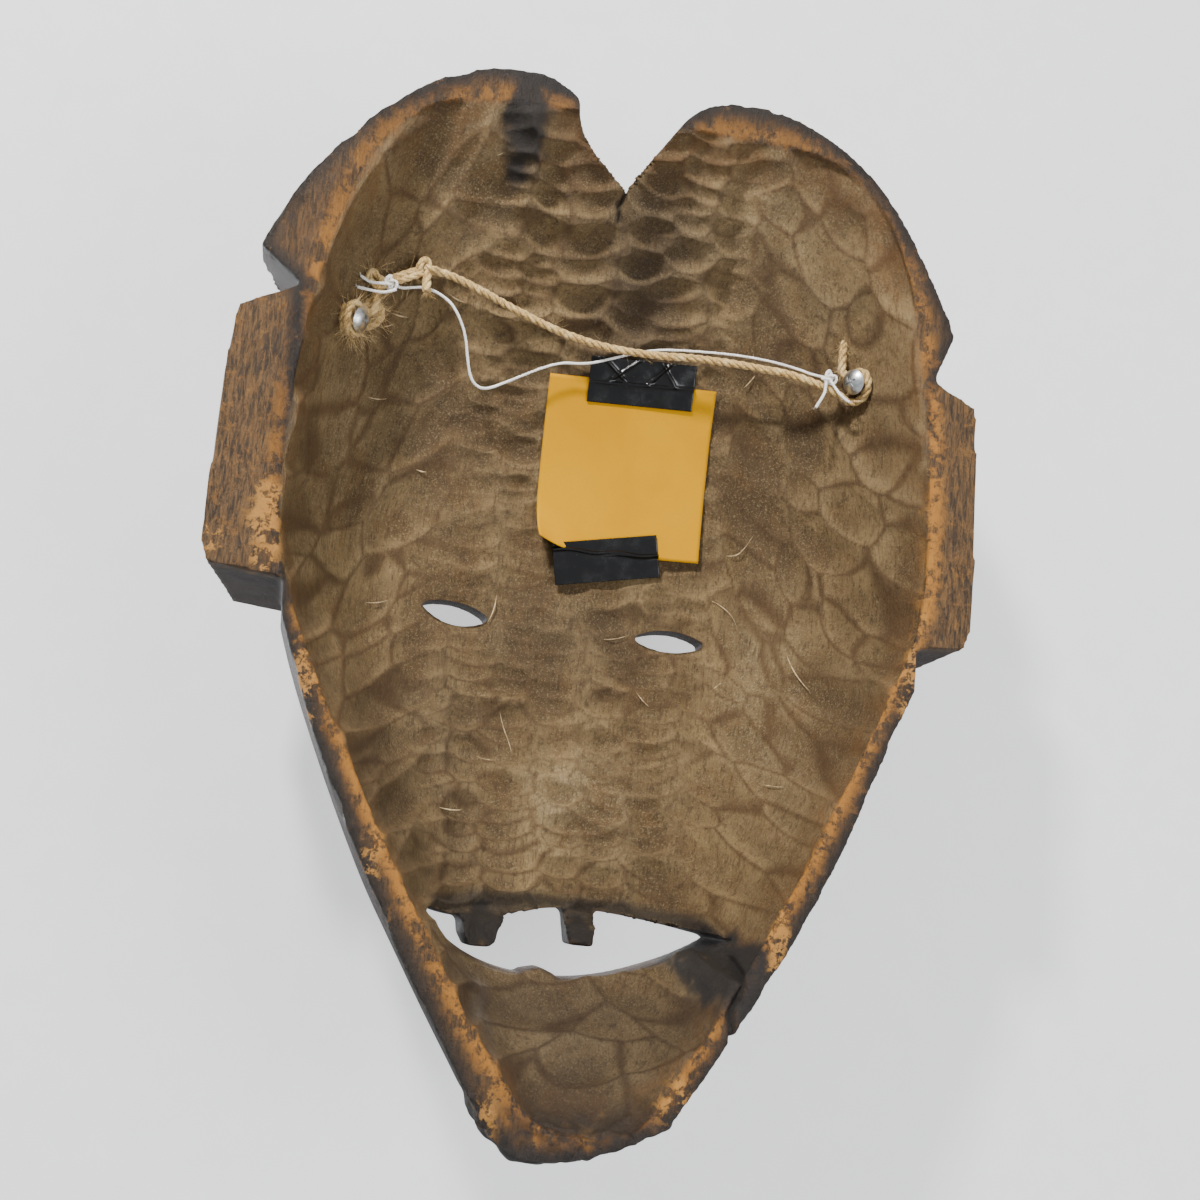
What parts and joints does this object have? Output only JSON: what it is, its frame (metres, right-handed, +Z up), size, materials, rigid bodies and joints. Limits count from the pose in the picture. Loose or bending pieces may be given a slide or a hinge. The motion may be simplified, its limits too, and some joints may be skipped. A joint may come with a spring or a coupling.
{
  "type": "carved wooden face mask",
  "caption": "Carved wooden wall mask with a hollow back, eye slits, an open mouth, twine and string to hang it by, and a taped paper note",
  "frame": {"origin": "the hang point: on the plane of the back rim, midway between the two hanger screws and level with them", "axes": "+Z up the face to the hair, -Y the way the face looks, +Y out of the hollow towards the wall, +X the wearer's left"},
  "size_m": [0.316, 0.1296, 0.4399],
  "materials": {
    "wood": "hand carved, dark stained outside, bare and worn in the hollow",
    "screw_steel": "bright zinc plated",
    "jute": "twisted and hairy",
    "cotton": "twisted, matt",
    "note_paper": "matt coloured paper",
    "black_tape": "glossy, wrinkled"
  },
  "bodies": {
    "root": {"mask_body": "wood", "screw_left": "screw_steel", "screw_right": "screw_steel", "twine_span": "jute", "twine_tail_right": "jute", "twine_wrap_left": "jute", "twine_knot_left": "jute", "string_span": "cotton", "string_knot_left": "cotton", "string_knot_right": "cotton", "paper_note": "note_paper", "tape_upper": "black_tape", "tape_lower": "black_tape"}
  },
  "joints": []
}
